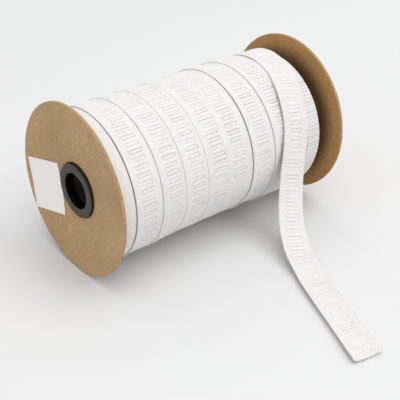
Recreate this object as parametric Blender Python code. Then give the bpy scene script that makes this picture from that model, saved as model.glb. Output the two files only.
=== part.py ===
"""A roll of white ribbed elastic on a reel of two kraft board discs.

Metres, +Z up. While the pieces are made, X is the reel's axis, -Y is its front and
the surface it stands on is z = 0. An angle round the roll starts at the front, level
with the axis, and grows upwards: 90 is the top, 180 the back and 270 the underside.
The finished reel is moved so that its origin is the middle of its footprint.
"""

import math

import bmesh
import bpy
from mathutils import Matrix, Quaternion, Vector

MM = 0.001

# The elastic tape: three quarters of an inch wide.
TAPE_WIDTH = 19.05 * MM
TAPE_THICK = 1.2 * MM

# The two discs. Each is dished: its rim stands further out than its middle.
DISC_RADIUS = 53.5 * MM
DISC_THICK = 2.0 * MM
DISC_DISH = 4.4 * MM
DISC_EYE_FLAT = 20.0 * MM
DISC_MIDDLE = 80.4 * MM
DISC_RIM_CHAMFER = 0.3 * MM
REST_FLAT = 0.15 * MM
LEFT_LEAN = (1.37, 0.0)
RIGHT_LEAN = (0.75, -1.04)

# The moulded tube through both discs.
CORE_RADIUS = 17.1 * MM
CORE_BORE = 11.2 * MM
CORE_HALF = 84.2 * MM
CORE_CHAMFER = 0.5 * MM
# The tube lies a little below the middle of the discs and of the roll.
CORE_SHIFT = Vector((0.0, 0.0, -1.2 * MM))

# The wound roll.
ROLL_RADIUS = 46.8 * MM
ROLL_LEFT = -81.6 * MM
ROLL_LEFT_MIDDLE = -79.4 * MM
ROLL_LEFT_ROUND = 0.9 * MM
ROLL_END_RADIUS = 43.0 * MM
FIT_GAP = 0.3 * MM
LAP_GAP = 0.4 * MM

# Each lap of tape: where its left edge lies, in mm from the reel's middle, and how
# far that edge rides up on the lap before it.
LAPS = (
    # left edge, rise
    (-92.4, 1.00),
    (-73.3, 1.00),
    (-54.5, 0.60),
    (-37.7, 0.45),
    (-20.7, 0.35),
    (-4.5, 0.15),
    (14.3, 1.10),
    (32.6, 0.80),
)
# A lap's outline: how far to the left and right of its edge the step up is, where the
# lap has come down to a share of its rise, and where it lies flat, in mm.
LAP_STEP = 0.05
LAP_BACK = 4.0
LAP_BACK_SHARE = 0.35
LAP_FLAT = 9.0
OUTLINE_COLUMNS = 4

# To the right of the laps the winding is one turn lower, under the last turn. Its
# rounded shoulder, and the points that lie idle beside it: distance along the axis
# and drop, in mm.
LOWER_TURN = TAPE_THICK + LAP_GAP
SHOULDER = ((71.4, 0.0), (72.8, -0.3), (73.9, -0.8), (74.4, -1.5))
BESIDE_SHOULDER = ((62.5, 0.0), (64.5, 0.0), (66.5, 0.0), (68.5, 0.0))

# Behind the roll every lap crosses over to its neighbour's place.
TURN_START = -80.0
CROSS_START = 140.0
CROSS_END = 280.0
SHOULDER_START = 115.0
SHOULDER_END = 145.0
ROLL_STEPS = 72

# The last turn starts below the roll, in the place of the last lap. It crosses over
# behind the roll like the others, lies beside the last lap on top of the roll, and
# rides up on that lap's edge as it comes down at the front.
LAST_TURN_START = 274.5
LAST_TURN_START_X = 42.7
LAST_TURN_X = 63.6
LAST_TURN_POINTS = 10
LAST_TURN_ON_TOP = (
    # angle, distance along the axis in mm, lift in mm, tilt of the left edge in degrees
    (130.0, 63.6, 0.00, 0.0),
    (112.0, 63.4, 0.00, 0.0),
    (97.0, 62.6, 0.15, 1.2),
    (82.0, 60.9, 0.80, 4.5),
    (66.0, 59.3, 1.05, 4.5),
    (51.0, 55.9, 1.65, 3.9),
    (36.0, 52.8, 2.00, 2.4),
)
LOOSE_END = (
    # x, y, z of the tape's middle line in mm, from the front of the roll to the cut
    (50.5, -45.0, 70.5),
    (47.0, -49.0, 59.0),
    (43.0, -52.0, 47.0),
    (38.5, -56.0, 35.0),
    (33.5, -61.5, 24.0),
    (28.5, -69.0, 14.5),
    (23.0, -81.0, 6.5),
    (17.0, -97.0, 2.0),
    (10.0, -114.0, 0.6),
    (2.5, -133.0, 0.6),
    (-5.0, -152.0, 0.6),
    (-12.4, -170.8, 0.6),
)
PATH_STEPS = 3
CUT_SLANT = 4.6 * MM

# The paper label on the left disc, seen from outside: the middle of the label from
# the axis, to the right and up.
LABEL_WIDTH = 29.6 * MM
LABEL_HEIGHT = 33.4 * MM
LABEL_THICK = 0.3 * MM
LABEL_CENTRE = (-31.8 * MM, -11.1 * MM)
LABEL_TILT = 12.0
LABEL_COLUMNS = 7
LABEL_ROWS = 7

DISC_STEPS = 96
CORE_STEPS = 72

# Corners sharper than this stay sharp in the shading.
SHARP_ANGLE = math.radians(35.0)
# Points nearer to each other than this are one point.
MERGE = 0.0005 * MM

AXIS_HEIGHT = DISC_RADIUS - REST_FLAT


def make_material(name, colour, roughness):
    """A plain matt material of one colour."""
    material = bpy.data.materials.new(name)
    material.use_nodes = True
    shader = material.node_tree.nodes["Principled BSDF"]
    shader.inputs["Base Color"].default_value = (*colour, 1.0)
    shader.inputs["Roughness"].default_value = roughness
    shader.inputs["Metallic"].default_value = 0.0
    return material


def make_object(name, bm, material, parent):
    """Turn a finished bmesh, modelled round the axis, into a named piece."""
    bmesh.ops.recalc_face_normals(bm, faces=bm.faces)
    mesh = bpy.data.meshes.new(name)
    bm.to_mesh(mesh)
    bm.free()
    mesh.shade_smooth()
    mesh.set_sharp_from_angle(angle=SHARP_ANGLE)
    mesh.materials.append(material)
    piece = bpy.data.objects.new(name, mesh)
    piece.location = (0.0, 0.0, AXIS_HEIGHT)
    piece.parent = parent
    bpy.context.scene.collection.objects.link(piece)
    return piece


def smooth_ramp(value, start, end):
    """0 before start, 1 after end, and a soft S between them."""
    share = min(max((value - start) / (end - start), 0.0), 1.0)
    return share * share * (3.0 - 2.0 * share)


def on_roll(angle, x, radius):
    """A point at an angle round the axis, in the axis's own coordinates."""
    turn = math.radians(angle)
    return Vector((x, -radius * math.cos(turn), radius * math.sin(turn)))


def turned(profile, steps):
    """A ring: a closed outline of (x, radius) pairs spun round the X axis."""
    bm = bmesh.new()
    corners = [bm.verts.new((x, 0.0, radius)) for x, radius in profile]
    edges = [bm.edges.new((a, b)) for a, b in zip(corners, corners[1:] + corners[:1])]
    bmesh.ops.spin(
        bm, geom=corners + edges, cent=(0.0, 0.0, 0.0), axis=(1.0, 0.0, 0.0),
        dvec=(0.0, 0.0, 0.0), angle=2.0 * math.pi, steps=steps, use_merge=True,
        use_duplicate=False)
    bmesh.ops.remove_doubles(bm, verts=bm.verts, dist=MERGE)
    return bm


def dish_at(radius):
    """How far a disc's surface stands outwards of its middle, at a radius."""
    share = max(radius - DISC_EYE_FLAT, 0.0) / (DISC_RADIUS - DISC_EYE_FLAT)
    return DISC_DISH * share


def lean_matrix(side, lean):
    """The disc's lean about its own middle: round Y, then round Z, in degrees."""
    middle = Vector((side * DISC_MIDDLE, 0.0, 0.0))
    tip = Matrix.Rotation(math.radians(lean[0]), 4, "Y")
    swing = Matrix.Rotation(math.radians(lean[1]), 4, "Z")
    return Matrix.Translation(middle) @ swing @ tip @ Matrix.Translation(-middle)


def cut_flat_at_surface(bm):
    """Slice off what reaches under the surface, which leaves a small flat."""
    geometry = list(bm.verts) + list(bm.edges) + list(bm.faces)
    bmesh.ops.bisect_plane(
        bm, geom=geometry, dist=MERGE, plane_co=(0.0, 0.0, -AXIS_HEIGHT),
        plane_no=(0.0, 0.0, 1.0), clear_inner=True, clear_outer=False)
    rim = [edge for edge in bm.edges if edge.is_boundary]
    bmesh.ops.holes_fill(bm, edges=rim, sides=0)


def disc(name, side, lean, material, parent):
    """One board disc, on side -1 (left) or 1 (right), with its eye for the tube."""
    eye = CORE_RADIUS + FIT_GAP
    edge = DISC_RADIUS - DISC_RIM_CHAMFER
    inner = [(dish_at(r), r) for r in (eye, DISC_EYE_FLAT, edge)]
    outer = [(x + DISC_THICK, r) for x, r in reversed(inner)]
    rim = [
        (DISC_DISH + DISC_RIM_CHAMFER, DISC_RADIUS),
        (DISC_DISH + DISC_THICK - DISC_RIM_CHAMFER, DISC_RADIUS),
    ]
    profile = [(side * (DISC_MIDDLE + x), r) for x, r in inner + rim + outer]
    bm = turned(profile, DISC_STEPS)
    for vert in bm.verts:
        if math.hypot(vert.co.y, vert.co.z) < DISC_EYE_FLAT - MERGE:
            vert.co += CORE_SHIFT
    bm.transform(lean_matrix(side, lean))
    cut_flat_at_surface(bm)
    return make_object(name, bm, material, parent)


def core(name, material, parent):
    """The tube through the discs, chamfered at both ends."""
    outside = CORE_RADIUS - CORE_CHAMFER
    inside = CORE_BORE + CORE_CHAMFER
    shoulder = CORE_HALF - CORE_CHAMFER
    profile = [
        (-CORE_HALF, outside), (-shoulder, CORE_RADIUS),
        (shoulder, CORE_RADIUS), (CORE_HALF, outside),
        (CORE_HALF, inside), (shoulder, CORE_BORE),
        (-shoulder, CORE_BORE), (-CORE_HALF, inside),
    ]
    bm = turned(profile, CORE_STEPS)
    bm.transform(Matrix.Translation(CORE_SHIFT))
    return make_object(name, bm, material, parent)


def mixed(first, second, share):
    """The value that lies a share of the way from the first to the second."""
    return first + share * (second - first)


def lap_outline(edge, rise):
    """The outline points that a lap starts with: (x, height) in mm."""
    return (
        (edge - LAP_STEP, 0.0), (edge + LAP_STEP, rise),
        (edge + LAP_BACK, LAP_BACK_SHARE * rise), (edge + LAP_FLAT, 0.0))


def roll_outline():
    """The roll's outline in blocks, each as it is before, in and after the crossing."""
    laps = [lap_outline(edge, rise) for edge, rise in LAPS]
    left_end = ((ROLL_LEFT / MM, -ROLL_LEFT_ROUND / MM),) * OUTLINE_COLUMNS
    lower_turn = lap_outline(LAPS[-1][0] + TAPE_WIDTH / MM, 0.0)
    last_lap_place = lap_outline(LAPS[-1][0], 0.0)
    right_end = SHOULDER[-1:] * OUTLINE_COLUMNS
    before = laps + [lower_turn, SHOULDER, right_end]
    between = laps + [lower_turn, BESIDE_SHOULDER, SHOULDER]
    after = [left_end] + laps[:-1] + [last_lap_place, lower_turn, SHOULDER]
    return list(zip(before, between, after))


def roll_row(angle, blocks):
    """The roll's outline at one angle, from its left end to its right end."""
    row = []
    crossed = smooth_ramp(angle, CROSS_START, CROSS_END)
    opened = smooth_ramp(angle, SHOULDER_START, SHOULDER_END)
    for number, block in enumerate(blocks):
        for column, (before, between, after) in enumerate(zip(*block)):
            x = mixed(mixed(before[0], between[0], opened), after[0], crossed) * MM
            height = mixed(mixed(before[1], between[1], opened), after[1], crossed) * MM
            if x <= ROLL_LEFT:
                x = ROLL_LEFT
                height = -ROLL_LEFT_ROUND
            if number > len(LAPS) or (number == len(LAPS) and column > 0):
                height -= LOWER_TURN
            row.append((x, ROLL_RADIUS + height))
    return row


def wound_roll(name, material, parent):
    """The wound elastic: one solid whose laps step over behind the roll."""
    bm = bmesh.new()
    blocks = roll_outline()
    step = (CROSS_END - TURN_START) / ROLL_STEPS
    inside = CORE_RADIUS + FIT_GAP
    rows = []
    for count in range(ROLL_STEPS):
        angle = TURN_START + step * count
        outline = roll_row(angle, blocks)
        left, right = outline[0][0], outline[-1][0]
        points = [on_roll(angle, x, radius) for x, radius in outline]
        points.append(on_roll(angle, right, ROLL_END_RADIUS))
        points.append(on_roll(angle, right, inside) + CORE_SHIFT)
        points.append(on_roll(angle, ROLL_LEFT_MIDDLE, inside) + CORE_SHIFT)
        points.append(on_roll(angle, left, ROLL_END_RADIUS))
        rows.append([bm.verts.new(point) for point in points])
    outer = len(blocks) * OUTLINE_COLUMNS
    left_end = rows[0][0]
    seam = [left_end] * OUTLINE_COLUMNS + rows[0][:outer - OUTLINE_COLUMNS] + rows[0][outer:]
    for here, there in zip(rows, rows[1:] + [seam]):
        for column in range(len(here)):
            following = (column + 1) % len(here)
            ring = []
            for vert in (here[column], here[following], there[following], there[column]):
                if vert not in ring:
                    ring.append(vert)
            if len(ring) > 2 and not bm.faces.get(ring):
                bm.faces.new(ring)
    bmesh.ops.remove_doubles(bm, verts=bm.verts, dist=MERGE)
    return make_object(name, bm, material, parent)


def smooth_path(points, steps):
    """A smooth curve through the points, with a few steps between each two."""
    ends = [2.0 * points[0] - points[1]], [2.0 * points[-1] - points[-2]]
    guide = ends[0] + points + ends[1]
    path = []
    for a, b, c, d in zip(guide, guide[1:], guide[2:], guide[3:]):
        for count in range(steps):
            t = count / steps
            bend = (2.0 * a - 5.0 * b + 4.0 * c - d) * t * t
            twist = (3.0 * b - a - 3.0 * c + d) * t * t * t
            path.append(0.5 * (2.0 * b + (c - a) * t + bend + twist))
    path.append(points[-1].copy())
    return path


def loose_end_path():
    """The middle line of the last turn and the loose end, from the axis, with the
    tape's tilt about it in degrees as a fourth coordinate."""
    turn = []
    for count in range(LAST_TURN_POINTS):
        angle = mixed(LAST_TURN_START, SHOULDER_END, count / (LAST_TURN_POINTS - 1))
        crossed = smooth_ramp(angle, CROSS_START, CROSS_END)
        turn.append((angle, mixed(LAST_TURN_X, LAST_TURN_START_X, crossed), 0.0, 0.0))
    path = []
    for angle, x, lift, tilt in turn + list(LAST_TURN_ON_TOP):
        radius = ROLL_RADIUS - 0.5 * TAPE_THICK + lift * MM
        path.append(Vector((*on_roll(angle, x * MM, radius), tilt)))
    for x, y, z in LOOSE_END:
        path.append(Vector((x * MM, y * MM, z * MM - AXIS_HEIGHT, 0.0)))
    return smooth_path(path, PATH_STEPS)


def loose_end(name, material, parent):
    """The tape of the last turn: a flat strip that follows the path, cut at a slant."""
    bm = bmesh.new()
    path = loose_end_path()
    rings = []
    for number, point in enumerate(path):
        after = path[min(number + 1, len(path) - 1)]
        before = path[max(number - 1, 0)]
        along = (after - before).xyz.normalized()
        across = Vector((1.0, 0.0, 0.0))
        across = (across - across.dot(along) * along).normalized()
        across.rotate(Quaternion(along, math.radians(-point.w)))
        half_width = 0.5 * TAPE_WIDTH * across
        half_thick = 0.5 * TAPE_THICK * along.cross(across)
        slant = Vector()
        if number == len(path) - 1:
            slant = 0.5 * CUT_SLANT * along
        corners = [
            point.xyz - half_width - half_thick + slant,
            point.xyz + half_width - half_thick - slant,
            point.xyz + half_width + half_thick - slant,
            point.xyz - half_width + half_thick + slant]
        sunk = max(-AXIS_HEIGHT - min(corner.z for corner in corners), 0.0)
        lift = Vector((0.0, 0.0, sunk))
        rings.append([bm.verts.new(corner + lift) for corner in corners])
    for here, there in zip(rings, rings[1:]):
        for side in range(4):
            following = (side + 1) % 4
            bm.faces.new((here[side], here[following], there[following], there[side]))
    bm.faces.new(reversed(rings[0]))
    bm.faces.new(rings[-1])
    return make_object(name, bm, material, parent)


def label(name, material, parent):
    """The paper label, bent to the left disc's dish and leaning with it."""
    bm = bmesh.new()
    bmesh.ops.create_grid(bm, x_segments=LABEL_COLUMNS, y_segments=LABEL_ROWS, size=0.5)
    tilt = math.radians(LABEL_TILT)
    face = DISC_MIDDLE + DISC_THICK + FIT_GAP
    for vert in bm.verts:
        across = vert.co.x * LABEL_WIDTH
        up = vert.co.y * LABEL_HEIGHT
        right = LABEL_CENTRE[0] + across * math.cos(tilt) - up * math.sin(tilt)
        height = LABEL_CENTRE[1] + across * math.sin(tilt) + up * math.cos(tilt)
        depth = face + dish_at(math.hypot(right, height))
        vert.co = (-depth, -right, height)
    bm.normal_update()
    bmesh.ops.solidify(bm, geom=list(bm.faces), thickness=-LABEL_THICK)
    bm.transform(lean_matrix(-1.0, LEFT_LEAN))
    return make_object(name, bm, material, parent)


def footprint_middle(pieces):
    """The middle of the box round all the pieces, seen from above."""
    corners = [vert.co for piece in pieces for vert in piece.data.vertices]
    xs = [corner.x for corner in corners]
    ys = [corner.y for corner in corners]
    return Vector((0.5 * (min(xs) + max(xs)), 0.5 * (min(ys) + max(ys)), 0.0))


def main():
    for old in list(bpy.data.objects):
        bpy.data.objects.remove(old, do_unlink=True)

    reel = bpy.data.objects.new("reel", None)
    bpy.context.scene.collection.objects.link(reel)

    board = make_material("kraft_board", (0.42, 0.28, 0.16), 0.9)
    plastic = make_material("grey_moulded_core", (0.11, 0.105, 0.10), 0.6)
    elastic = make_material("white_knitted_elastic", (0.84, 0.83, 0.81), 0.95)
    paper = make_material("white_label_paper", (0.80, 0.79, 0.77), 0.7)

    pieces = [
        disc("flange_left", -1.0, LEFT_LEAN, board, reel),
        disc("flange_right", 1.0, RIGHT_LEAN, board, reel),
        core("core_tube", plastic, reel),
        wound_roll("elastic_roll", elastic, reel),
        loose_end("elastic_loose_end", elastic, reel),
        label("flange_label", paper, reel),
    ]
    reel.location = -footprint_middle(pieces)


main()
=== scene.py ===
import math
import random

import bmesh
import bpy
from mathutils import Matrix, Quaternion, Vector


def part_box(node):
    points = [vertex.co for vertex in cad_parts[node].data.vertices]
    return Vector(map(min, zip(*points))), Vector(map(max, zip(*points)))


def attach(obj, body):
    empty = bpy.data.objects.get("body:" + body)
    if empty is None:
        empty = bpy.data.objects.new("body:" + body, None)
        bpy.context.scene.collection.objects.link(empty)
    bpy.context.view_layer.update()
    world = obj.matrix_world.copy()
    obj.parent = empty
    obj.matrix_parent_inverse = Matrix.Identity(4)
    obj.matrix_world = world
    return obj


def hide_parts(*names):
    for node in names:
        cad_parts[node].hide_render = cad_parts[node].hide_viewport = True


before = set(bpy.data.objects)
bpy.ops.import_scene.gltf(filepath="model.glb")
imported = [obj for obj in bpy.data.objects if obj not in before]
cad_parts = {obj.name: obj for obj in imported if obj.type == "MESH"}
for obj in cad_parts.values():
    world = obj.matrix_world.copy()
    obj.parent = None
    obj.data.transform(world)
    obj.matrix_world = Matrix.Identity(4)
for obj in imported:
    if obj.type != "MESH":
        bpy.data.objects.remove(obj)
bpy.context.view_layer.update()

# A roll of white ribbed elastic on a reel of two kraft board discs.
#
# While the pieces are made, X is the reel's axis, -Y its front, and the axis is at
# z = 0. An angle round the roll starts at the front, level with the axis, and grows
# upwards: 90 is the top, 180 the back and 270 the underside. A finished piece is
# moved by AXIS, the middle of the discs and of the roll, which puts it where its
# solid is.

MM = 0.001

# The tube lies a little below the middle of the discs and of the roll.
CORE_SHIFT = Vector((0.0, 0.0, -1.2 * MM))
CORE_LOW, CORE_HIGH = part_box("core_tube")
AXIS = 0.5 * (CORE_LOW + CORE_HIGH) - CORE_SHIFT
# How high the axis lies over the surface that the reel stands on, in mm.
AXIS_HEIGHT = 53.35

# The elastic tape, in mm: three quarters of an inch wide, with a band of ribs along
# its middle and a plain knitted border on each side.
TAPE_WIDTH = 19.05
TAPE_THICK = 1.2
BAND_START = 4.7
BAND_END = 14.4
BAND_END_SOFT = 0.4

# The furrows between the ribs run across the band, two by two: a broad rib between two
# pairs and a low, narrow one inside each. They are a little closer on the wound tape.
FURROW_PITCH = 2.35
LOOSE_FURROW_PITCH = 2.45
FURROW_DEPTH = 0.5
FURROW_HALF_WIDTH = 0.58
PAIR_SHIFT = 0.10
LOW_RIB_DEPTH = 0.10
FURROWS_IN_A_TURN = 125
ROWS_TO_A_FURROW = 8
# No furrow is quite like the next: its depth has one of these shares, its ends lie this
# far from the band's, in mm, and some pairs are joined there into a loop.
UNEVEN_DEPTH = (0.6, 1.1)
UNEVEN_START = (-0.2, 0.3)
UNEVEN_END = (-0.3, 0.2)
JOINED_CHANCE = 0.6
JOIN_DEPTH = 0.85
JOIN_INSET = 0.45
# A fine furrow runs along each edge, in mm from the left one. The under face is
# ribbed less.
SELVEDGE_FURROWS = (1.35, 17.7)
SELVEDGE_DEPTH = 0.05
SELVEDGE_HALF_WIDTH = 0.4
UNDER_FACE_SHARE = 0.5

# The discs, in mm and degrees.
DISC_RADIUS = 53.5
DISC_THICK = 2.0
DISC_DISH = 4.4
DISC_EYE_FLAT = 20.0
DISC_MIDDLE = 80.4
DISC_RINGS = (19.0, DISC_EYE_FLAT, 22.0, 28.0, 36.0, 44.0, 50.0, 52.4)
DISC_STEPS = 192
EYE_ROUND = 0.3
RIM_ROUND = 0.45
RIM_TURNS = (0.0, 30.0, 60.0, 90.0)
# How each disc leans, round Y and round Z.
LEFT_LEAN = (1.37, 0.0)
RIGHT_LEAN = (0.75, -1.04)
# Painted shade on the board's inner face: it is darkened next to the winding, fully inside the
# first radius and fading out by the second, in mm.
PAINTED_SHADE_FROM = 38.0
PAINTED_SHADE_TO = 49.5

# The moulded tube, in mm.
CORE_RADIUS = 17.1
CORE_BORE = 11.2
CORE_HALF = 84.2
CORE_CHAMFER = 0.5
# The middle of a rounded chamfer, as shares of it along the tube and across.
CHAMFER_ALONG = 0.3
CHAMFER_ACROSS = 0.7
# A shallow step inside each end: how far in it lies, how deep it is, and its slope.
LIP_IN = 6.0
LIP_DEPTH = 0.6
LIP_SLOPE = 0.4
CORE_STEPS = 128
FIT_GAP = 0.3

# The wound roll, in mm. Its left end face lies further in at the tube, and both ends
# are rounded at their outer edge. The layer below lies lower by LOWER_TURN.
ROLL_RADIUS = 46.8
ROLL_LEFT = -81.6
ROLL_LEFT_MIDDLE = -79.4
ROLL_LEFT_ROUND = 0.9
ROLL_LEFT_ROUND_WIDTH = 1.5
ROLL_RIGHT = 74.4
ROLL_RIGHT_ROUND = 2.0
ROLL_RIGHT_ROUND_WIDTH = 2.6
ROLL_RIGHT_ROUND_POWER = 2.5
LOWER_TURN = 1.6

# The turns under the outer laps, in mm. The edge of each turn lies in from the end by
# some mm and up to some more, and is rounded: shares up the turn, mm further in.
BODY_RADIUS = 43.9
BODY_STEPS = 144
BODY_SEED = 11
TURN_EDGE_IN = 0.35
TURN_EDGE_UNEVEN = 0.25
TURN_EDGE = ((0.04, 0.3), (0.3, 0.0), (0.7, 0.0), (0.96, 0.3))

# The laps: where each one's left edge lies, how far it rides up on the lap before
# it, and the slit that stays open beside it. The roll's left end cuts the first one
# short, and the last row is where the last lap ends.
LAPS = (
    # left edge, rise, slit
    (-96.4, 1.00, 0.30),
    (-73.3, 1.00, 0.20),
    (-54.6, 0.60, 0.05),
    (-37.7, 0.40, -0.03),
    (-20.8, 0.35, -0.10),
    (-5.8, 0.15, -0.30),
    (14.1, 1.10, 0.16),
    (32.5, 0.80, 0.09),
    (51.65, 0.0, 0.05),
)
# The rise fades across the lap, over some mm.
RISE_REACH = 9.0
RISE_POWER = 1.8
# Rise and slit are less from the top of the roll on: the rise by a share of it, the
# slit by some mm.
FLATTER_FROM = 50.0
FLATTER_TO = 88.0
RISE_FALL = 0.3
SLIT_CLOSING = 0.12

# Low on the roll the laps in the middle are drawn in and those at the right end stand
# out, in mm. Each begins along the axis between two places, in mm, and on the way down,
# at the front and at the back, between two angles.
DRAWN_IN = 0.75
DRAWN_IN_FROM = (-52.0, -34.0)
STOOD_OUT = 0.85
STOOD_OUT_FROM = (18.0, 47.0)
LOW_FRONT = (-45.0, -15.0)
LOW_BACK = (235.0, 265.0)

# A turn starts under the front, and behind the roll every lap crosses over to its
# neighbour's place, in degrees.
TURN_START = -80.0
CROSS_START = 140.0
CROSS_END = 280.0

# The laps of the layer below, which show at the right end under the last turn.
LOWER_LAPS = (
    # name, seed, left and right edge in front, left and right edge once crossed over
    ("lower_lap_left", 31, (47.5, 58.5), (28.5, 51.9)),
    ("lower_lap_right", 32, (58.8, ROLL_RIGHT), (52.2, ROLL_RIGHT)),
)

# Points across the tape's upper face, in mm from its left edge, and round its left
# edge: mm in from the edge, and the share of the thickness below the upper face. The
# right edge is rounded less. On a narrower lap only the points beyond FACE_FIXED_TO
# move in.
FACE_PLACES = (
    1.0, 1.35, 1.7, 3.0, 4.0, 4.4, 4.7, 5.0, 5.4, 6.2, 7.6, 9.5, 11.5, 12.9, 13.7, 14.1,
    14.4, 14.7, 15.1, 17.35, 17.7, 18.05)
FACE_FIXED_TO = 15.1
RIGHT_ROUND_SHARE = 0.5
EDGE_ROUND = ((0.30, 1.0), (0.07, 0.88), (0.0, 0.5), (0.07, 0.12), (0.30, 0.0))

# The last turn and the loose end, in mm and degrees, near where their solid lies.
LOOSE_END_SEED = 77
LAST_TURN_START = 274.5
LAST_TURN_START_X = 42.7
LAST_TURN_X = 63.6
LAST_TURN_POINTS = 10
LAST_TURN_END = 145.0
LAST_TURN_ON_TOP = (
    # angle, distance along the axis in mm, lift in mm, tilt of the left edge in degrees
    (130.0, 63.6, 0.00, 0.0),
    (112.0, 63.4, 0.00, 0.0),
    (97.0, 62.6, 0.15, 1.2),
    (82.0, 60.9, 0.50, 2.4),
    (66.0, 59.3, 0.75, 2.6),
    (51.0, 55.9, 1.60, 3.6),
    (36.0, 52.8, 2.00, 2.4),
)
LOOSE_END = (
    # x, y, z of the tape's middle line in mm, from the front of the roll to the cut
    (50.5, -45.0, 70.5),
    (47.0, -49.0, 59.0),
    (43.0, -52.0, 47.0),
    (38.5, -56.0, 35.0),
    (33.5, -61.5, 24.0),
    (28.5, -69.0, 14.5),
    (22.6, -81.0, 6.5),
    (16.5, -96.5, 2.0),
    (9.3, -113.5, 0.9),
    (1.9, -132.6, 0.6),
    (-5.7, -151.8, 0.7),
    (-13.6, -170.9, 1.2),
)
PATH_STEPS = 24
# From some mm in front of the axis on the tape lies free, and both its edges stand up
# a little, in mm. Its furrows turn there till they lie along the cut.
FREE_START = 65.0
FREE_FULL = 120.0
CUP_LEFT = 2.2
CUP_RIGHT = 0.6
CUT_SLANT = 4.6

# The paper label, seen from outside: its middle from the axis, to the right and up.
LABEL_WIDTH = 29.6
LABEL_HEIGHT = 33.4
LABEL_THICK = 0.22
LABEL_OFF = 0.05
LABEL_CENTRE = (-31.8, -11.1)
LABEL_TILT = 12.0
LABEL_COLUMNS = 28
LABEL_ROWS = 32

# The studio, in m, W and degrees, and the camera's lens and sensor in mm.
FLOOR_SIZE = 4.0
LIT_PLACE = (0.0, 0.0, 0.05)
LIGHTS = (
    # name, place, size, power
    ("overhead_light", (0.275, -0.720, 2.110), 2.2, 28.2),
    ("front_light", (0.616, -1.621, 1.405), 0.42, 4.0),
    ("back_light", (0.338, 2.094, 2.171), 1.7, 7.5),
)
ROOM_COLOUR = (0.985, 0.992, 1.0, 1.0)
ROOM_STRENGTH = 0.70
CAMERA_PLACE = (-0.315046, -0.339776, 0.32032)
CAMERA_PITCH = 58.941
CAMERA_HEADING = -39.180
CAMERA_LENS = 81.03
CAMERA_SENSOR = 36.0

SHARP_ANGLE = math.radians(40.0)
MERGE = 0.0004 * MM
TAPE_MAP = "tape_mm"
FURROW_LAYER = "furrow"


# ---------------------------------------------------------------- materials

def linear(hex_colour):
    """A colour given as sRGB hex, turned to linear, with alpha."""
    values = []
    for place in (0, 2, 4):
        value = int(hex_colour[place:place + 2], 16) / 255.0
        if value <= 0.04045:
            values.append(value / 12.92)
        else:
            values.append(((value + 0.055) / 1.055) ** 2.4)
    return (*values, 1.0)


def add_node(tree, kind, inputs=None, **settings):
    """Add a node with its settings; an input is given a value or an output to link."""
    made = tree.nodes.new(kind)
    for name, value in settings.items():
        setattr(made, name, value)
    for name, value in (inputs or {}).items():
        if isinstance(value, bpy.types.NodeSocket):
            tree.links.new(value, made.inputs[name])
        else:
            made.inputs[name].default_value = value
    return made


def blank_material(name):
    """A material with its tree and its Principled shader."""
    material = bpy.data.materials.new(name)
    material.use_nodes = True
    tree = material.node_tree
    return material, tree, tree.nodes["Principled BSDF"]


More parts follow.
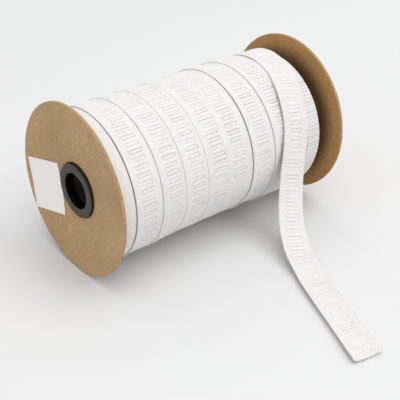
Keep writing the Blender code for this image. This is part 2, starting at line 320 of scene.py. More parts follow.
def knitted_elastic(name, shade):
    """Knitted elastic: bulked polyester yarn looped round stretched rubber threads.

    The loops stand in fine columns along the borders and scatter light evenly, so
    the tape is a soft matt white with a fine grain. In the furrows a share of grey
    is mixed in as painted shade, up to the share given as shade.
    """
    material, tree, shader = blank_material(name)
    wale = 1.15  # mm between two columns of loops, drawn coarser than real to show
    course = 0.95  # mm between two loops along the tape, drawn coarser too
    fuzz_size = 1.1  # mm, tufts of the bulked yarn
    fuzz_height = 2.2  # how high the tufts stand, where the knit's loops count as 1
    mottle_size = 7.0  # mm, patches where the yarn took the bleach differently
    border_from, border_to = 4.2, 5.2  # mm from the tape's middle, where the knit shows
    places = add_node(tree, "ShaderNodeUVMap", uv_map=TAPE_MAP)
    split = add_node(tree, "ShaderNodeSeparateXYZ", {0: places.outputs[0]})
    across, along = split.outputs["X"], split.outputs["Y"]
    column = add_node(tree, "ShaderNodeMath", {0: across, 1: 0.5 * wale}, operation="PINGPONG")
    slanted = add_node(tree, "ShaderNodeMath", {0: along, 1: column.outputs[0]}, operation="ADD")
    turned_on = add_node(
        tree, "ShaderNodeMath", {0: slanted.outputs[0], 1: 2.0 * math.pi / course},
        operation="MULTIPLY")
    loops = add_node(tree, "ShaderNodeMath", {0: turned_on.outputs[0]}, operation="SINE")
    groove = add_node(
        tree, "ShaderNodeMapRange",
        {"Value": column.outputs[0], "From Min": 0.0, "From Max": 0.35 * wale,
         "To Min": -0.6, "To Max": 0.4},
        interpolation_type="SMOOTHSTEP")
    knit = add_node(
        tree, "ShaderNodeMath", {0: loops.outputs[0], 1: groove.outputs[0]}, operation="ADD")
    coords = add_node(tree, "ShaderNodeTexCoord")
    fuzz = add_node(
        tree, "ShaderNodeTexNoise",
        {"Vector": coords.outputs["Object"], "Scale": 1.0 / (fuzz_size * MM), "Detail": 4.0,
         "Roughness": 0.65})
    mottle = add_node(
        tree, "ShaderNodeTexNoise",
        {"Vector": coords.outputs["Object"], "Scale": 1.0 / (mottle_size * MM),
         "Detail": 2.0})
    from_middle = add_node(
        tree, "ShaderNodeMath", {0: across, 1: 0.5 * TAPE_WIDTH}, operation="SUBTRACT")
    distance = add_node(
        tree, "ShaderNodeMath", {0: from_middle.outputs[0]}, operation="ABSOLUTE")
    border = add_node(
        tree, "ShaderNodeMapRange",
        {"Value": distance.outputs[0], "From Min": border_from, "From Max": border_to,
         "To Min": 0.25, "To Max": 1.0},
        interpolation_type="SMOOTHSTEP")
    knit_here = add_node(
        tree, "ShaderNodeMath", {0: knit.outputs[0], 1: border.outputs[0]},
        operation="MULTIPLY")
    height = add_node(
        tree, "ShaderNodeMath", {0: fuzz.outputs["Fac"], 1: fuzz_height, 2: knit_here.outputs[0]},
        operation="MULTIPLY_ADD")
    bump = add_node(
        tree, "ShaderNodeBump",
        {"Height": height.outputs[0], "Distance": 0.045 * MM, "Strength": 1.0})
    grain = add_node(
        tree, "ShaderNodeMapRange",
        {"Value": height.outputs[0], "From Min": -0.2, "From Max": fuzz_height,
         "To Min": 0.0, "To Max": 1.0})
    thread = add_node(
        tree, "ShaderNodeMix",
        {0: grain.outputs[0], 6: linear("b2aeab"), 7: linear("fbf9f8")},
        data_type="RGBA")
    mottled = add_node(
        tree, "ShaderNodeMix",
        {0: mottle.outputs["Fac"], 6: thread.outputs[2], 7: linear("ebe8e6")},
        data_type="RGBA")
    # Painted shade: grey is mixed in by how deep the point lies in a furrow.
    furrow = add_node(tree, "ShaderNodeAttribute", attribute_name=FURROW_LAYER)
    furrow_shade_share = add_node(
        tree, "ShaderNodeMapRange",
        {"Value": furrow.outputs["Fac"], "From Min": 0.15, "From Max": 1.0,
         "To Min": 0.0, "To Max": shade})
    furrow_shaded = add_node(
        tree, "ShaderNodeMix",
        {0: furrow_shade_share.outputs[0], 6: mottled.outputs[2], 7: linear("aaa5a3")},
        data_type="RGBA")
    tree.links.new(furrow_shaded.outputs[2], shader.inputs["Base Color"])
    tree.links.new(bump.outputs[0], shader.inputs["Normal"])
    shader.inputs["Roughness"].default_value = 0.85
    shader.inputs["Sheen Weight"].default_value = 0.25
    shader.inputs["Sheen Roughness"].default_value = 0.5
    shader.inputs["Specular IOR Level"].default_value = 0.3
    return material


def kraft_liner(name, pale, brown, cloud, speck, painted_shade):
    """Kraft liner on chipboard: unbleached wood pulp, rolled smooth and left bare.

    Short fibres and darker specks show all over a matt light brown. Towards the
    winding it takes on a share of a dark brown: painted shade where the roll
    shades the board.
    """
    material, tree, shader = blank_material(name)
    fibre_size = 0.75  # mm, the width of a bundle of fibres
    speck_size = 1.3  # mm
    cloud_size = 24.0  # mm, where the pulp lay thicker
    coords = add_node(tree, "ShaderNodeTexCoord")
    fibre_lay = add_node(
        tree, "ShaderNodeMapping",
        {"Vector": coords.outputs["Object"], "Rotation": (0.5, 0.0, 0.0),
         "Scale": (1.0, 0.35, 1.0)})
    fibres = add_node(
        tree, "ShaderNodeTexNoise",
        {"Vector": fibre_lay.outputs[0], "Scale": 1.0 / (fibre_size * MM), "Detail": 6.0,
         "Roughness": 0.7})
    specks = add_node(
        tree, "ShaderNodeTexNoise",
        {"Vector": coords.outputs["Object"], "Scale": 1.0 / (speck_size * MM), "Detail": 3.0,
         "Roughness": 0.6})
    clouds = add_node(
        tree, "ShaderNodeTexNoise",
        {"Vector": coords.outputs["Object"], "Scale": 1.0 / (cloud_size * MM),
         "Detail": 2.0})
    fibre_share = add_node(
        tree, "ShaderNodeMapRange",
        {"Value": fibres.outputs["Fac"], "From Min": 0.3, "From Max": 0.7})
    body = add_node(
        tree, "ShaderNodeMix",
        {0: fibre_share.outputs[0], 6: linear(brown), 7: linear(pale)},
        data_type="RGBA")
    cloud_share = add_node(
        tree, "ShaderNodeMapRange",
        {"Value": clouds.outputs["Fac"], "From Min": 0.3, "From Max": 0.7,
         "To Min": 0.0, "To Max": 0.45})
    clouded = add_node(
        tree, "ShaderNodeMix",
        {0: cloud_share.outputs[0], 6: body.outputs[2], 7: linear(cloud)},
        data_type="RGBA")
    speck_share = add_node(
        tree, "ShaderNodeMapRange",
        {"Value": specks.outputs["Fac"], "From Min": 0.62, "From Max": 0.74,
         "To Min": 0.0, "To Max": 0.55})
    specked = add_node(
        tree, "ShaderNodeMix",
        {0: speck_share.outputs[0], 6: clouded.outputs[2], 7: linear(speck)},
        data_type="RGBA")
    # Painted shade: the colour turns dark brown towards the axis, next to the winding.
    from_axis = add_node(
        tree, "ShaderNodeMapping",
        {"Vector": coords.outputs["Object"], "Location": (0.0, -AXIS.y, -AXIS.z),
         "Scale": (0.0, 1.0, 1.0)})
    radius = add_node(
        tree, "ShaderNodeVectorMath", {0: from_axis.outputs[0]}, operation="LENGTH")
    painted_shade_share = add_node(
        tree, "ShaderNodeMapRange",
        {"Value": radius.outputs["Value"], "From Min": PAINTED_SHADE_FROM * MM,
         "From Max": PAINTED_SHADE_TO * MM, "To Min": painted_shade, "To Max": 0.0},
        interpolation_type="SMOOTHSTEP")
    shaded_colour = add_node(
        tree, "ShaderNodeMix",
        {0: painted_shade_share.outputs[0], 6: specked.outputs[2], 7: linear("2e1c0e")},
        data_type="RGBA")
    bump = add_node(
        tree, "ShaderNodeBump",
        {"Height": fibres.outputs["Fac"], "Distance": 0.08 * MM, "Strength": 0.9})
    tree.links.new(shaded_colour.outputs[2], shader.inputs["Base Color"])
    tree.links.new(bump.outputs[0], shader.inputs["Normal"])
    shader.inputs["Roughness"].default_value = 0.82
    shader.inputs["Specular IOR Level"].default_value = 0.35
    return material


def board_edge():
    """The die-cut edge of the board: torn grey-brown plies, rough and dull."""
    material, tree, shader = blank_material("Cut chipboard edge")
    ply = 0.35  # mm, the thickness of a ply
    coords = add_node(tree, "ShaderNodeTexCoord")
    plies_lay = add_node(
        tree, "ShaderNodeMapping",
        {"Vector": coords.outputs["Object"], "Scale": (1.0, 0.12, 0.12)})
    plies = add_node(
        tree, "ShaderNodeTexNoise",
        {"Vector": plies_lay.outputs[0], "Scale": 1.0 / (ply * MM), "Detail": 5.0,
         "Roughness": 0.65})
    share = add_node(
        tree, "ShaderNodeMapRange",
        {"Value": plies.outputs["Fac"], "From Min": 0.3, "From Max": 0.7})
    colour = add_node(
        tree, "ShaderNodeMix",
        {0: share.outputs[0], 6: linear("8f7453"), 7: linear("bfa37c")},
        data_type="RGBA")
    bump = add_node(
        tree, "ShaderNodeBump",
        {"Height": plies.outputs["Fac"], "Distance": 0.12 * MM, "Strength": 0.8})
    tree.links.new(colour.outputs[2], shader.inputs["Base Color"])
    tree.links.new(bump.outputs[0], shader.inputs["Normal"])
    shader.inputs["Roughness"].default_value = 0.95
    return material


def moulded_plastic(name, dark, light, specular):
    """Filled polystyrene, injection moulded: dark warm grey with a faint orange peel."""
    material, tree, shader = blank_material(name)
    peel_size = 0.8  # mm
    scuff_size = 4.0  # mm
    coords = add_node(tree, "ShaderNodeTexCoord")
    peel = add_node(
        tree, "ShaderNodeTexNoise",
        {"Vector": coords.outputs["Object"], "Scale": 1.0 / (peel_size * MM), "Detail": 3.0})
    scuffs = add_node(
        tree, "ShaderNodeTexNoise",
        {"Vector": coords.outputs["Object"], "Scale": 1.0 / (scuff_size * MM), "Detail": 5.0,
         "Roughness": 0.6})
    colour = add_node(
        tree, "ShaderNodeMix",
        {0: scuffs.outputs["Fac"], 6: linear(dark), 7: linear(light)},
        data_type="RGBA")
    gloss = add_node(
        tree, "ShaderNodeMapRange",
        {"Value": scuffs.outputs["Fac"], "From Min": 0.3, "From Max": 0.7,
         "To Min": 0.48, "To Max": 0.64})
    bump = add_node(
        tree, "ShaderNodeBump",
        {"Height": peel.outputs["Fac"], "Distance": 0.02 * MM, "Strength": 0.6})
    tree.links.new(colour.outputs[2], shader.inputs["Base Color"])
    tree.links.new(gloss.outputs[0], shader.inputs["Roughness"])
    tree.links.new(bump.outputs[0], shader.inputs["Normal"])
    shader.inputs["IOR"].default_value = 1.55
    shader.inputs["Specular IOR Level"].default_value = specular
    return material


def label_paper():
    """Uncoated label paper: pulp with an optical brightener, which makes it whiter than
    the tape, matt, with a faint fibre cloud."""
    material, tree, shader = blank_material("Uncoated label paper")
    pulp_size = 1.6  # mm, the clouds in the pulp
    coords = add_node(tree, "ShaderNodeTexCoord")
    cloud = add_node(
        tree, "ShaderNodeTexNoise",
        {"Vector": coords.outputs["Object"], "Scale": 1.0 / (pulp_size * MM), "Detail": 6.0,
         "Roughness": 0.6})
    colour = add_node(
        tree, "ShaderNodeMix",
        {0: cloud.outputs["Fac"], 6: linear("f9f4f0"), 7: linear("fffbf8")},
        data_type="RGBA")
    bump = add_node(
        tree, "ShaderNodeBump",
        {"Height": cloud.outputs["Fac"], "Distance": 0.02 * MM, "Strength": 0.5})
    tree.links.new(colour.outputs[2], shader.inputs["Base Color"])
    tree.links.new(bump.outputs[0], shader.inputs["Normal"])
    shader.inputs["Roughness"].default_value = 0.7
    return material


def paper_edge():
    """The cut edge of the label, where the adhesive under it has yellowed a little."""
    material, tree, shader = blank_material("Cut label paper edge")
    shader.inputs["Base Color"].default_value = linear("eadfc4")
    shader.inputs["Roughness"].default_value = 0.8
    return material


def floor_paper():
    """Matt paper of a pale grey, which the studio's light turns white."""
    material, tree, shader = blank_material("Matt studio paper")
    shader.inputs["Base Color"].default_value = linear("e0e0e0")
    shader.inputs["Roughness"].default_value = 0.9
    shader.inputs["Specular IOR Level"].default_value = 0.2
    return material


# ---------------------------------------------------------------- shapes

def mixed(first, second, share):
    """The value that lies a share of the way from the first to the second."""
    return first + share * (second - first)


def smooth_ramp(value, start, end):
    """0 before start, 1 after end, and a soft S between them."""
    share = min(max((value - start) / (end - start), 0.0), 1.0)
    return share * share * (3.0 - 2.0 * share)


def on_roll(angle, x, radius):
    """A point at an angle round the axis; x and the radius are in mm."""
    turn = math.radians(angle)
    return Vector((x, -radius * math.cos(turn), radius * math.sin(turn))) * MM


def finish_piece(name, bm, materials, node=None):
    """Turn a finished bmesh, modelled round the axis, into a piece of the reel."""
    bm.transform(Matrix.Translation(AXIS))
    mesh = bpy.data.meshes.new(name)
    bm.to_mesh(mesh)
    bm.free()
    mesh.shade_smooth()
    mesh.set_sharp_from_angle(angle=SHARP_ANGLE)
    for material in materials:
        mesh.materials.append(material)
    piece = bpy.data.objects.new(name, mesh)
    bpy.context.scene.collection.objects.link(piece)
    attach(piece, "root")
    if node:
        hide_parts(node)
    return piece


def turned(profile, steps):
    """A ring: a closed outline of (x, radius) pairs in mm spun round the axis."""
    bm = bmesh.new()
    corners = [bm.verts.new((x * MM, 0.0, radius * MM)) for x, radius in profile]
    edges = [bm.edges.new((a, b)) for a, b in zip(corners, corners[1:] + corners[:1])]
    bmesh.ops.spin(
        bm, geom=corners + edges, cent=(0.0, 0.0, 0.0), axis=(1.0, 0.0, 0.0),
        dvec=(0.0, 0.0, 0.0), angle=2.0 * math.pi, steps=steps, use_merge=True,
        use_duplicate=False)
    bmesh.ops.remove_doubles(bm, verts=bm.verts, dist=MERGE)
    bmesh.ops.recalc_face_normals(bm, faces=bm.faces)
    return bm


def dish_at(radius):
    """How far a disc's surface stands outwards of its middle, at a radius, in mm."""
    share = max(radius - DISC_EYE_FLAT, 0.0) / (DISC_RADIUS - DISC_EYE_FLAT)
    return DISC_DISH * share


def lean_matrix(side, lean):
    """The disc's lean about its own middle: round Y, then round Z, in degrees."""
    middle = Vector((side * DISC_MIDDLE * MM, 0.0, 0.0))
    tip = Matrix.Rotation(math.radians(lean[0]), 4, "Y")
    swing = Matrix.Rotation(math.radians(lean[1]), 4, "Z")
    return Matrix.Translation(middle) @ swing @ tip @ Matrix.Translation(-middle)


def board_disc(name, node, side, lean):
    """A dished board disc with a rounded, pressed rim and a cut eye for the tube."""
    eye = CORE_RADIUS + FIT_GAP
    inner = [(dish_at(r), r) for r in (eye, eye + EYE_ROUND, *DISC_RINGS)]
    rim = []
    for turn in RIM_TURNS:
        cosine, sine = math.cos(math.radians(turn)), math.sin(math.radians(turn))
        rim.append((
            DISC_DISH + RIM_ROUND * (1.0 - cosine), DISC_RADIUS - RIM_ROUND * (1.0 - sine)))
    middle = [(DISC_DISH + 0.5 * DISC_THICK, DISC_RADIUS)]
    outer_rim = [(2.0 * DISC_DISH + DISC_THICK - x, r) for x, r in reversed(rim)]
    outer = [(x + DISC_THICK, r) for x, r in reversed(inner)]
    profile = [(side * (DISC_MIDDLE + x), r) for x, r in inner + rim + middle + outer_rim + outer]
    bm = turned(profile, DISC_STEPS)
    # The eye is cut round the tube, so the rings inside the flat are moved with it.
    moved_to = (DISC_EYE_FLAT - 0.1) * MM
    for vert in bm.verts:
        if math.hypot(vert.co.y, vert.co.z) < moved_to:
            vert.co += CORE_SHIFT
    edge_from = (DISC_RADIUS - 0.25 * RIM_ROUND) * MM
    cut_eye_to = (eye + 0.02) * MM
    # Rim and eye take the cut edge. The inner faces take the darker liner with painted shade.
    for face in bm.faces:
        where = face.calc_center_median()
        radius = math.hypot(where.y, where.z)
        from_tube = math.hypot(where.y, where.z - CORE_SHIFT.z)
        if radius > edge_from or from_tube < cut_eye_to:
            face.material_index = 2
        elif face.normal.x * side < 0.0:
            face.material_index = 1
    bm.transform(lean_matrix(side, lean))
    # The rim is worn flat where the disc stands.
    floor_level = -AXIS_HEIGHT * MM
    for vert in bm.verts:
        vert.co.z = max(vert.co.z, floor_level)
    return finish_piece(name, bm, [BOARD, BOARD_INSIDE_SHADED, BOARD_EDGE], node)


def moulded_tube():
    """The tube through both discs, with a chamfer and an inner lip at each end."""
    outside = CORE_RADIUS - CORE_CHAMFER
    inside = CORE_BORE + CORE_CHAMFER
    shoulder = CORE_HALF - CORE_CHAMFER
    rounded = CORE_HALF - CHAMFER_ALONG * CORE_CHAMFER
    over = CHAMFER_ACROSS * CORE_CHAMFER
    lip = CORE_HALF - LIP_IN
    half = [
        (shoulder, CORE_RADIUS), (rounded, outside + over), (CORE_HALF, outside),
        (CORE_HALF, inside), (rounded, inside - over), (shoulder, CORE_BORE),
        (lip, CORE_BORE), (lip - LIP_SLOPE, CORE_BORE + LIP_DEPTH)]
    profile = [(-x, r) for x, r in reversed(half)] + half
    bm = turned(profile, CORE_STEPS)
    # The outer wall takes the dark brown painted shade, and the bore the near-black painted
    # shade.
    for face in bm.faces:
        where = face.calc_center_median()
        radius = math.hypot(where.y, where.z) / MM
        if radius > outside + 0.8 * CORE_CHAMFER:
            face.material_index = 1
        elif radius < inside - 0.8 * CORE_CHAMFER:
            face.material_index = 2
    bm.transform(Matrix.Translation(CORE_SHIFT))
    return finish_piece(
        "moulded_tube", bm, [PLASTIC, PLASTIC_WALL_SHADED, PLASTIC_BORE_SHADED], "core_tube")


def wound_body():
    """The turns under the outer laps. Their edges show as rings on both end faces."""
    rng = random.Random(BODY_SEED)
    inside = CORE_RADIUS + FIT_GAP
    layers = int((BODY_RADIUS - inside) / TAPE_THICK)
    step = (BODY_RADIUS - inside) / layers
    left, right = [], []
    for layer in range(layers):
        low = inside + step * layer
        left_end = mixed(ROLL_LEFT_MIDDLE, ROLL_LEFT, layer / layers)
        for side, end in ((left, left_end), (right, ROLL_RIGHT)):
            out = math.copysign(1.0, end)
            edge = end - out * (TURN_EDGE_IN + rng.uniform(0.0, TURN_EDGE_UNEVEN))
            for up, further_in in TURN_EDGE:
                side.append((edge - out * further_in, low + up * step))
    bm = turned(left + right[::-1], BODY_STEPS)
    for vert in bm.verts:
        radius = math.hypot(vert.co.y, vert.co.z) / MM
        vert.co += CORE_SHIFT * (1.0 - smooth_ramp(radius, inside, BODY_RADIUS))
    return finish_piece("wound_turns", bm, [ELASTIC_WOUND_DEEPER_SHADE], "elastic_roll")


def furrow_pattern(seed, count):
    """The furrows of a stretch of tape. Each has its depth, where it starts and ends
    across the tape, and whether its pair is joined at the left and at the right."""
    rng = random.Random(seed)
    furrows = []
    for _ in range((count + 1) // 2):
        joined = (rng.random() < JOINED_CHANCE, rng.random() < JOINED_CHANCE)
        for _ in range(2):
            furrows.append((
                FURROW_DEPTH * rng.uniform(*UNEVEN_DEPTH),
                BAND_START + rng.uniform(*UNEVEN_START),
                BAND_END + rng.uniform(*UNEVEN_END),
                joined))
    return furrows


def swell(distance, half_width):
    """1 at no distance, 0 from half the width on, and round between them."""
    share = min(abs(distance) / half_width, 1.0)
    return 0.5 + 0.5 * math.cos(math.pi * share)


def furrow_at(furrows, across, along, pitch):
    """How deep the knitted face lies at a place: mm across from the tape's left edge,
    and mm along from its start."""
    number = int(along / pitch)
    depth, start, end, joined = furrows[number % len(furrows)]
    towards_partner = -1.0 if number % 2 else 1.0
    off = along - (number + 0.5) * pitch - towards_partner * PAIR_SHIFT
    deep = depth * swell(off, FURROW_HALF_WIDTH)
    if off * towards_partner > 0.0:
        deep = max(deep, LOW_RIB_DEPTH)
        if joined[0]:
            bow = swell(across - start - JOIN_INSET, FURROW_HALF_WIDTH)
            deep = max(deep, JOIN_DEPTH * depth * bow)
        if joined[1]:
            bow = swell(across - end + JOIN_INSET, FURROW_HALF_WIDTH)
            deep = max(deep, JOIN_DEPTH * depth * bow)
    inside = smooth_ramp(across, start - BAND_END_SOFT, start + BAND_END_SOFT)
    inside *= 1.0 - smooth_ramp(across, end - BAND_END_SOFT, end + BAND_END_SOFT)
    selvedge = max(swell(across - line, SELVEDGE_HALF_WIDTH) for line in SELVEDGE_FURROWS)
    return deep * inside + SELVEDGE_DEPTH * selvedge


def tape_section(width, both_faces):
    """Round the tape's section from its lower left: (mm from the left edge, share of
    the thickness below the upper face). The last point is the first again."""
    left = list(EDGE_ROUND)
    right = [
        (width - RIGHT_ROUND_SHARE * inset, depth) for inset, depth in reversed(EDGE_ROUND)]
    squeeze = (width - FACE_FIXED_TO) / (TAPE_WIDTH - FACE_FIXED_TO)
    face = []
    for place in FACE_PLACES:
        beyond = max(place - FACE_FIXED_TO, 0.0)
        face.append((place - beyond + beyond * squeeze, 0.0))
    under = [(place, 1.0) for place, depth in reversed(face)] if both_faces else []
    ring = left + face + right + under
    return ring + ring[:1]


def tape(rows, both_faces, section_at, place, furrows, pitch):
    """A length of tape: a flat grid whose columns run round the tape's section. Its
    UV map holds each point's place on the tape in mm, across and along, and a layer
    holds how deep in a furrow the point lies, from 0 to 1."""
    bm = bmesh.new()
    columns = len(tape_section(TAPE_WIDTH, both_faces=both_faces)) - 1

    def along_at(row):
        return pitch * row / ROWS_TO_A_FURROW

    bmesh.ops.create_grid(bm, x_segments=columns, y_segments=rows, size=0.5)
    uv_map = bm.loops.layers.uv.new(TAPE_MAP)
    furrow_layer = bm.verts.layers.float.new(FURROW_LAYER)
    sections = [section_at(row) for row in range(rows + 1)]
    spots = {}
    for vert in bm.verts:
        column = round((vert.co.x + 0.5) * columns)
        row = round((vert.co.y + 0.5) * rows)
        spots[vert] = (column, row)
    for face in bm.faces:
        for loop in face.loops:
            column, row = spots[loop.vert]
            loop[uv_map].uv = (sections[row][column][0], along_at(row))
    for vert, (column, row) in spots.items():
        across, depth = sections[row][column]
        furrow = furrow_at(furrows, across, along_at(row), pitch)
        if depth == 1.0:
            furrow *= UNDER_FACE_SHARE
        vert[furrow_layer] = min(furrow / FURROW_DEPTH, 1.0)
        if 0.0 < depth < 1.0:
            furrow = 0.0
        vert.co = place(row, across, depth, furrow)
    bmesh.ops.remove_doubles(bm, verts=bm.verts, dist=MERGE)
    ends = [edge for edge in bm.edges if edge.is_boundary]
    bmesh.ops.holes_fill(bm, edges=ends, sides=0)
    bmesh.ops.recalc_face_normals(bm, faces=bm.faces)
    return bm


def lap_edge(number, angle):
    """Where a lap's left edge lies at an angle, and how far it rides up, in mm."""
    crossed = smooth_ramp(angle, CROSS_START, CROSS_END)
    edge, rise, _ = LAPS[number]
    if number == 0:
        edge_after, rise_after = edge - TAPE_WIDTH, rise
    else:
        edge_after, rise_after, _ = LAPS[number - 1]
    return mixed(edge, edge_after, crossed), mixed(rise, rise_after, crossed)


def stand_out(x, angle):
    """How far the laps stand out of the plain round roll at a place, in mm."""
    low = 1.0 - smooth_ramp(angle, *LOW_FRONT) + smooth_ramp(angle, *LOW_BACK)
    drawn_in = DRAWN_IN * smooth_ramp(x, *DRAWN_IN_FROM)
    stood_out = (DRAWN_IN + STOOD_OUT) * smooth_ramp(x, *STOOD_OUT_FROM)
    return low * (stood_out - drawn_in)


def wound_lap(number):
    """One lap of the outer layer, from below the front over the top to below again."""
    rows = FURROWS_IN_A_TURN * ROWS_TO_A_FURROW
    furrows = furrow_pattern(number, FURROWS_IN_A_TURN)
    angles = [mixed(TURN_START, CROSS_END, row / rows) for row in range(rows + 1)]
    edges = [lap_edge(number, angle) for angle in angles]
    following = [lap_edge(number + 1, angle)[0] for angle in angles]
    slit = LAPS[number + 1][2]
    closed = min(SLIT_CLOSING, max(slit, 0.0))
    flatter = [smooth_ramp(angle, FLATTER_FROM, FLATTER_TO) for angle in angles]
    slits = [slit - closed * share for share in flatter]

    def section_at(row):
        width = following[row] - slits[row] - edges[row][0]
        return tape_section(width, both_faces=False)

    def place(row, across, depth, furrow):
        edge, rise = edges[row]
        rise *= 1.0 - RISE_FALL * flatter[row]
        x = edge + across
        height = rise * max(1.0 - across / RISE_REACH, 0.0) ** RISE_POWER
        height += stand_out(x, angles[row])
        if depth == 0.0:
            height -= furrow
        from_end = x - ROLL_LEFT
        if from_end < ROLL_LEFT_ROUND_WIDTH:
            near = smooth_ramp(from_end, 0.0, ROLL_LEFT_ROUND_WIDTH)
            height = mixed(-ROLL_LEFT_ROUND, height, near)
            x = max(x, ROLL_LEFT)
        return on_roll(angles[row], x, ROLL_RADIUS + height - depth * TAPE_THICK)

    bm = tape(rows, False, section_at, place, furrows, FURROW_PITCH)
    return finish_piece("wound_lap_%d" % (number + 1), bm, [ELASTIC_WOUND_DEEPER_SHADE])


def lower_lap(name, seed, in_front, behind):
    """A lap of the layer below, at the right end, where the last turn lies on it. Its
    left and right edge are given in front and once it has crossed over behind."""
    rows = FURROWS_IN_A_TURN * ROWS_TO_A_FURROW
    furrows = furrow_pattern(seed, FURROWS_IN_A_TURN)
    angles = [mixed(TURN_START, CROSS_END, row / rows) for row in range(rows + 1)]
    crossed = [smooth_ramp(angle, CROSS_START, CROSS_END) for angle in angles]
    lefts = [mixed(in_front[0], behind[0], share) for share in crossed]
    rights = [mixed(in_front[1], behind[1], share) for share in crossed]
    top = ROLL_RADIUS - LOWER_TURN

    def section_at(row):
        return tape_section(rights[row] - lefts[row], both_faces=False)

    def place(row, across, depth, furrow):
        x = lefts[row] + across
        height = stand_out(x, angles[row])
        if depth == 0.0:
            height -= furrow
        over = x - (ROLL_RIGHT - ROLL_RIGHT_ROUND_WIDTH)
        if over > 0.0:
            near = over / ROLL_RIGHT_ROUND_WIDTH
            height -= ROLL_RIGHT_ROUND * near ** ROLL_RIGHT_ROUND_POWER
        return on_roll(angles[row], x, top + height - depth * TAPE_THICK)

    bm = tape(rows, False, section_at, place, furrows, FURROW_PITCH)
    return finish_piece(name, bm, [ELASTIC_WOUND_DEEPER_SHADE])


def smooth_path(points, steps):
    """A smooth curve through the points, with a few steps between each two."""
    ahead = 2.0 * points[0] - points[1]
    beyond = 2.0 * points[-1] - points[-2]
    guide = [ahead, *points, beyond]
    path = []
    for a, b, c, d in zip(guide, guide[1:], guide[2:], guide[3:]):
        for count in range(steps):
            t = count / steps
            bend = (2.0 * a - 5.0 * b + 4.0 * c - d) * t * t
            twist = (3.0 * b - a - 3.0 * c + d) * t * t * t
            path.append(0.5 * (2.0 * b + (c - a) * t + bend + twist))
    path.append(points[-1].copy())
    return path


def loose_end_path():
    """The middle line of the last turn and the loose end, with the tilt of the tape in
    degrees as a fourth coordinate, and its length so far at each point."""
    turn = []
    for count in range(LAST_TURN_POINTS):
        angle = mixed(LAST_TURN_START, LAST_TURN_END, count / (LAST_TURN_POINTS - 1))
        crossed = smooth_ramp(angle, CROSS_START, CROSS_END)
        turn.append((angle, mixed(LAST_TURN_X, LAST_TURN_START_X, crossed), 0.0, 0.0))
    points = []
    for angle, x, lift, tilt in turn + list(LAST_TURN_ON_TOP):
        points.append(Vector((*on_roll(angle, x, ROLL_RADIUS - 0.5 * TAPE_THICK + lift), tilt)))
    for x, y, z in LOOSE_END:
        points.append(Vector((x * MM, y * MM, (z - AXIS_HEIGHT) * MM, 0.0)))
    path = smooth_path(points, PATH_STEPS)
    heading = (path[-1] - path[-2]).xyz.normalized() * CUT_SLANT * MM
    path.append(Vector((*(path[-1].xyz + heading), 0.0)))
    lengths = [0.0]
    for before, after in zip(path, path[1:]):
        lengths.append(lengths[-1] + (after.xyz - before.xyz).length)
    return path, lengths


def square_to(along):
    """The direction square to a heading that lies nearest to the reel's axis."""
    axis = Vector((1.0, 0.0, 0.0))
    return (axis - axis.dot(along) * along).normalized()


def loose_end():
    """The last turn and the loose end: one strip, ribbed on both faces, cut at a slant.
    Returns the piece and its length along the middle in metres."""
    path, lengths = loose_end_path()
    step = LOOSE_FURROW_PITCH * MM / ROWS_TO_A_FURROW
    rows = int(lengths[-1] / step)
    furrows = furrow_pattern(LOOSE_END_SEED, rows // ROWS_TO_A_FURROW + 2)
    frames = []
    at = 0
    for row in range(rows + 1):
        distance = min(row * step, lengths[-1])
        while at < len(lengths) - 2 and lengths[at + 1] < distance:
            at += 1
        share = (distance - lengths[at]) / (lengths[at + 1] - lengths[at])
        point = path[at].lerp(path[at + 1], share)
        before = path[max(at - 1, 0)]
        after = path[min(at + 2, len(path) - 1)]
        along = (after - before).xyz.normalized()
        across = square_to(along)
        across.rotate(Quaternion(along, math.radians(-point.w)))
        frames.append((point.xyz, along, across, along.cross(across)))

    def section_at(row):
        return tape_section(TAPE_WIDTH, both_faces=True)

    def place(row, across, depth, furrow):
        point, forward, sideways, up = frames[row]
        from_middle = across / (0.5 * TAPE_WIDTH) - 1.0
        free = smooth_ramp(-point.y / MM, FREE_START, FREE_FULL)
        cup = CUP_LEFT if from_middle < 0.0 else CUP_RIGHT
        height = (0.5 - depth) * TAPE_THICK + cup * free * from_middle * from_middle
        if depth == 0.0:
            height -= furrow
        elif depth == 1.0:
            height += furrow
        skew = -0.5 * CUT_SLANT * free * from_middle
        spot = point + sideways * (across - 0.5 * TAPE_WIDTH) * MM + up * height * MM
        spot += forward * skew * MM
        spot.z = max(spot.z, -AXIS_HEIGHT * MM)
        return spot

    bm = tape(rows, True, section_at, place, furrows, LOOSE_FURROW_PITCH)
    along = (path[-1] - path[-2]).xyz.normalized()
    normal = (along * TAPE_WIDTH + square_to(along) * CUT_SLANT).normalized()
    geometry = list(bm.verts) + list(bm.edges) + list(bm.faces)
    bmesh.ops.bisect_plane(
        bm, geom=geometry, dist=MERGE, plane_co=path[-2].xyz, plane_no=normal,
        clear_inner=False, clear_outer=True)
    rim = [edge for edge in bm.edges if edge.is_boundary]
    bmesh.ops.holes_fill(bm, edges=rim, sides=0)
    piece = finish_piece(
        "loose_end", bm, [ELASTIC], "elastic_loose_end")
    return piece, lengths[-2]


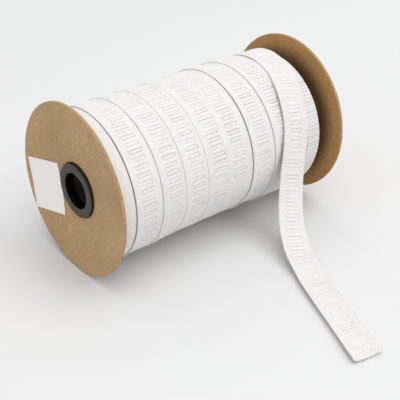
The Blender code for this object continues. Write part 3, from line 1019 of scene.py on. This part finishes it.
def paper_label():
    """The bare label on the left disc, bent to the disc's dish."""
    bm = bmesh.new()
    bmesh.ops.create_grid(bm, x_segments=LABEL_COLUMNS, y_segments=LABEL_ROWS, size=0.5)
    tilt = math.radians(LABEL_TILT)
    outside = DISC_MIDDLE + DISC_THICK + LABEL_OFF + LABEL_THICK
    for vert in bm.verts:
        across = vert.co.x * LABEL_WIDTH
        up = vert.co.y * LABEL_HEIGHT
        right = LABEL_CENTRE[0] + across * math.cos(tilt) - up * math.sin(tilt)
        height = LABEL_CENTRE[1] + across * math.sin(tilt) + up * math.cos(tilt)
        depth = outside + dish_at(math.hypot(right, height))
        vert.co = Vector((-depth, -right, height)) * MM
    bm.normal_update()
    bmesh.ops.solidify(bm, geom=list(bm.faces), thickness=-LABEL_THICK * MM)
    bmesh.ops.recalc_face_normals(bm, faces=bm.faces)
    for face in bm.faces:
        face.material_index = int(abs(face.normal.x) < 0.5)
    bm.transform(lean_matrix(-1.0, LEFT_LEAN))
    return finish_piece("paper_label", bm, [PAPER, PAPER_EDGE], "flange_label")


# ---------------------------------------------------------------- the object

# Both tapes get painted shade in their furrows. The wound one gets a deeper share of it.
ELASTIC = knitted_elastic("Knitted polyester elastic", shade=0.36)
ELASTIC_WOUND_DEEPER_SHADE = knitted_elastic("Wound polyester elastic with deeper painted shade", shade=0.56)
BOARD = kraft_liner(
    "Kraft liner outside", pale="ddba8c", brown="9f7f5a", cloud="a38156", speck="6c5035",
    painted_shade=0.0)
# The inner faces: a darker, more saturated copy of the liner as painted shade, darker still next
# to the winding.
BOARD_INSIDE_SHADED = kraft_liner(
    "Kraft liner inside with painted shade", pale="d0a267", brown="987141", cloud="9d7442", speck="6c4e2c",
    painted_shade=0.78)
BOARD_EDGE = board_edge()
# The tube's ring ends are rubbed grey. Its outer wall is painted dark brown as painted shade in
# the gap where it sits in the boards. Its bore is painted nearly black as painted shade, as the
# mouth looks in the picture.
PLASTIC = moulded_plastic(
    "Moulded grey polystyrene", dark="352f2a", light="403a33", specular=0.4)
PLASTIC_WALL_SHADED = moulded_plastic(
    "Polystyrene wall with painted shade", dark="1d1512", light="2b201b", specular=0.2)
PLASTIC_BORE_SHADED = moulded_plastic(
    "Polystyrene bore with painted shade", dark="040404", light="080706", specular=0.05)
PAPER = label_paper()
PAPER_EDGE = paper_edge()

loose_tape, loose_length = loose_end()
board_disc("board_disc_left", "flange_left", -1.0, LEFT_LEAN)
board_disc("board_disc_right", "flange_right", 1.0, RIGHT_LEAN)
moulded_tube()
wound_body()
for lap in range(len(LAPS) - 1):
    wound_lap(lap)
for lap_values in LOWER_LAPS:
    lower_lap(*lap_values)
paper_label()

# ---------------------------------------------------------------- the studio

floor_bm = bmesh.new()
bmesh.ops.create_grid(floor_bm, x_segments=1, y_segments=1, size=FLOOR_SIZE)
floor_mesh = bpy.data.meshes.new("studio_floor")
floor_bm.to_mesh(floor_mesh)
floor_bm.free()
floor_mesh.materials.append(floor_paper())
floor = bpy.data.objects.new("studio_floor", floor_mesh)
bpy.context.scene.collection.objects.link(floor)


def area_light(name, place, size, power):
    """A square soft light at a place, turned to the reel."""
    light = bpy.data.lights.new(name, "AREA")
    light.shape = "SQUARE"
    light.size = size
    light.energy = power
    lamp = bpy.data.objects.new(name, light)
    lamp.location = place
    towards = Vector(LIT_PLACE) - Vector(place)
    lamp.rotation_euler = towards.to_track_quat("-Z", "Y").to_euler()
    bpy.context.scene.collection.objects.link(lamp)


for light_values in LIGHTS:
    area_light(*light_values)

room = bpy.data.worlds.new("studio_light")
room.use_nodes = True
background = room.node_tree.nodes["Background"]
background.inputs["Color"].default_value = ROOM_COLOUR
background.inputs["Strength"].default_value = ROOM_STRENGTH
bpy.context.scene.world = room
bpy.context.scene.view_settings.view_transform = "Standard"

camera_data = bpy.data.cameras.new("camera")
camera_data.lens = CAMERA_LENS
camera_data.sensor_width = CAMERA_SENSOR
camera = bpy.data.objects.new("camera", camera_data)
camera.location = CAMERA_PLACE
camera.rotation_euler = (math.radians(CAMERA_PITCH), 0.0, math.radians(CAMERA_HEADING))
bpy.context.scene.collection.objects.link(camera)
bpy.context.scene.camera = camera
